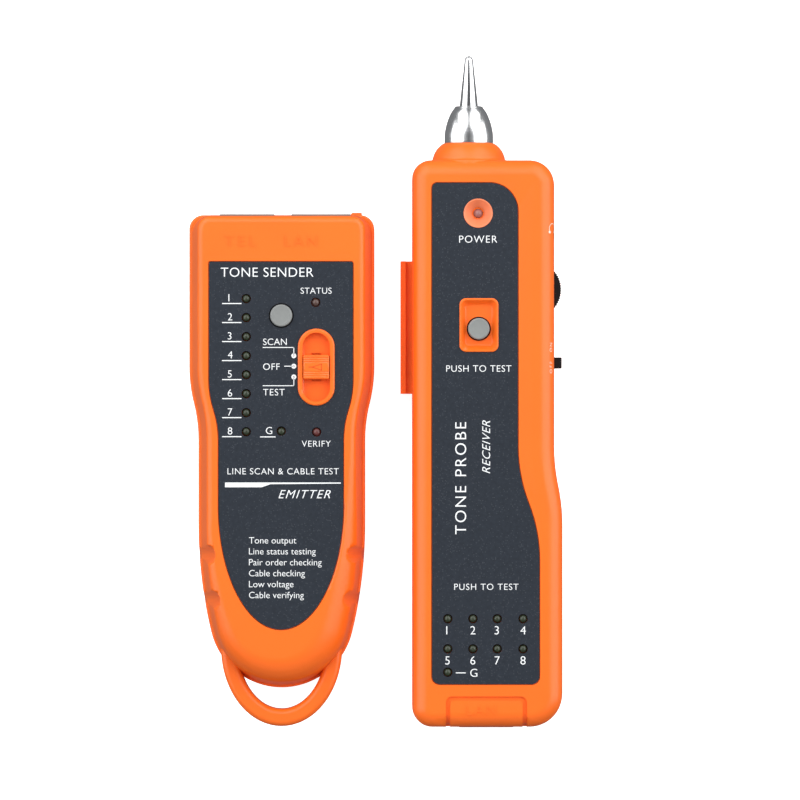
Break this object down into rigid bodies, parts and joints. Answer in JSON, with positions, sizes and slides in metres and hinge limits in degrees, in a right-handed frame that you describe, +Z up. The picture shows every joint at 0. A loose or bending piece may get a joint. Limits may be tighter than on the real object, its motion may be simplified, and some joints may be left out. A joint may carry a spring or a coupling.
{
  "type": "tone probe kit",
  "caption": "Handheld cable tracer kit: a tone sender with modular jacks and a slide-in dock groove, and a probe receiver with a metal tip and dock rail.",
  "frame": {"origin": "bottom centre of the bounding box, on the surface that both units lie on", "axes": "+X from the emitter to the receiver, +Y along both units towards the emitter's sockets and the probe tip, +Z up, out of the faces"},
  "size_m": [0.1222, 0.2196, 0.0326],
  "materials": {
    "orange_shell": "satin moulded ABS",
    "slate_label": "fine textured printed overlay",
    "grey_button": "satin",
    "green_lens": "unlit tinted lens",
    "red_lens": "unlit tinted lens",
    "clear_lens": "clear lens",
    "green_board": "solder mask",
    "gold_contacts": "gold plated",
    "grey_socket": "satin",
    "black_plastic": "satin",
    "switch_metal": "plated",
    "black_rubber": "matt",
    "lead_rubber": "matt insulation",
    "battery_case": "printed wrap",
    "screw_steel": "zinc plated",
    "polished_chrome": "polished",
    "turned_metal": "fine turned, plated"
  },
  "bodies": {
    "emitter": {"emitter_front_shell": "orange_shell", "emitter_back_shell": "orange_shell", "emitter_label_panel": "slate_label", "emitter_hanging_loop": "orange_shell", "emitter_pair_leds": "green_lens", "emitter_status_led": "red_lens", "emitter_verify_led": "red_lens", "emitter_tact_switch": "black_plastic", "emitter_slide_switch": "switch_metal", "emitter_circuit_board": "green_board", "emitter_chips": "black_plastic", "emitter_tel_jack": "grey_socket", "emitter_tel_contacts": "gold_contacts", "emitter_lan_jack": "grey_socket", "emitter_lan_contacts": "gold_contacts", "emitter_battery": "battery_case", "emitter_battery_snap": "black_rubber", "emitter_battery_leads": "lead_rubber", "emitter_screws": "screw_steel"},
    "emitter_button": {"emitter_push_button": "grey_button", "emitter_button_plunger": "black_plastic"},
    "mode_slider": {"emitter_slider_knob": "orange_shell"},
    "emitter_door": {"emitter_battery_door": "orange_shell"},
    "receiver": {"receiver_front_shell": "orange_shell", "receiver_back_shell": "orange_shell", "receiver_label_panel": "slate_label", "receiver_pair_leds": "green_lens", "receiver_power_led": "red_lens", "receiver_tact_switch": "black_plastic", "receiver_circuit_board": "green_board", "receiver_chips": "black_plastic", "receiver_lan_jack": "grey_socket", "receiver_lan_contacts": "gold_contacts", "earphone_jack": "black_plastic", "receiver_battery": "battery_case", "receiver_battery_snap": "black_rubber", "receiver_battery_leads": "lead_rubber", "receiver_screws": "screw_steel", "speaker": "black_plastic", "probe_collar": "turned_metal", "probe_tip": "polished_chrome", "probe_nut": "switch_metal", "volume_potentiometer": "switch_metal", "lamp_switch_body": "switch_metal", "lamp_led": "clear_lens"},
    "test_button": {"receiver_test_button": "grey_button", "receiver_button_plunger": "black_plastic"},
    "volume": {"volume_wheel": "black_plastic"},
    "lamp_switch": {"lamp_switch_knob": "black_plastic"},
    "receiver_door": {"receiver_battery_door": "orange_shell"}
  },
  "joints": [
    {"name": "emitter_button_press", "type": "slide", "parent": "emitter", "child": "emitter_button", "axis": [0, 0, -1], "range_m": [0, 0.0006], "stiffness_N_per_m": 800, "springref_m": -0.0005},
    {"name": "mode_slide", "type": "slide", "parent": "emitter", "child": "mode_slider", "axis": [0, 1, 0], "range_m": [-0.0035, 0.0035]},
    {"name": "emitter_door_slide", "type": "slide", "parent": "emitter", "child": "emitter_door", "axis": [0, -1, 0], "range_m": [0, 0.08]},
    {"name": "receiver_lift", "type": "slide", "parent": "emitter", "child": "receiver", "axis": [0, 0, 1], "range_m": [0, 0.06]},
    {"name": "test_button_press", "type": "slide", "parent": "receiver", "child": "test_button", "axis": [0, 0, -1], "range_m": [0, 0.0006], "stiffness_N_per_m": 800, "springref_m": -0.0005},
    {"name": "volume_turn", "type": "hinge", "parent": "receiver", "child": "volume", "pos_m": [0.05115, 0.0332, 0.019], "axis": [0, 0, 1], "range_deg": [-140, 140]},
    {"name": "lamp_switch_slide", "type": "slide", "parent": "receiver", "child": "lamp_switch", "axis": [0, 1, 0], "range_m": [0, 0.0025]},
    {"name": "receiver_door_slide", "type": "slide", "parent": "receiver", "child": "receiver_door", "axis": [0, -1, 0], "range_m": [0, 0.09]}
  ]
}
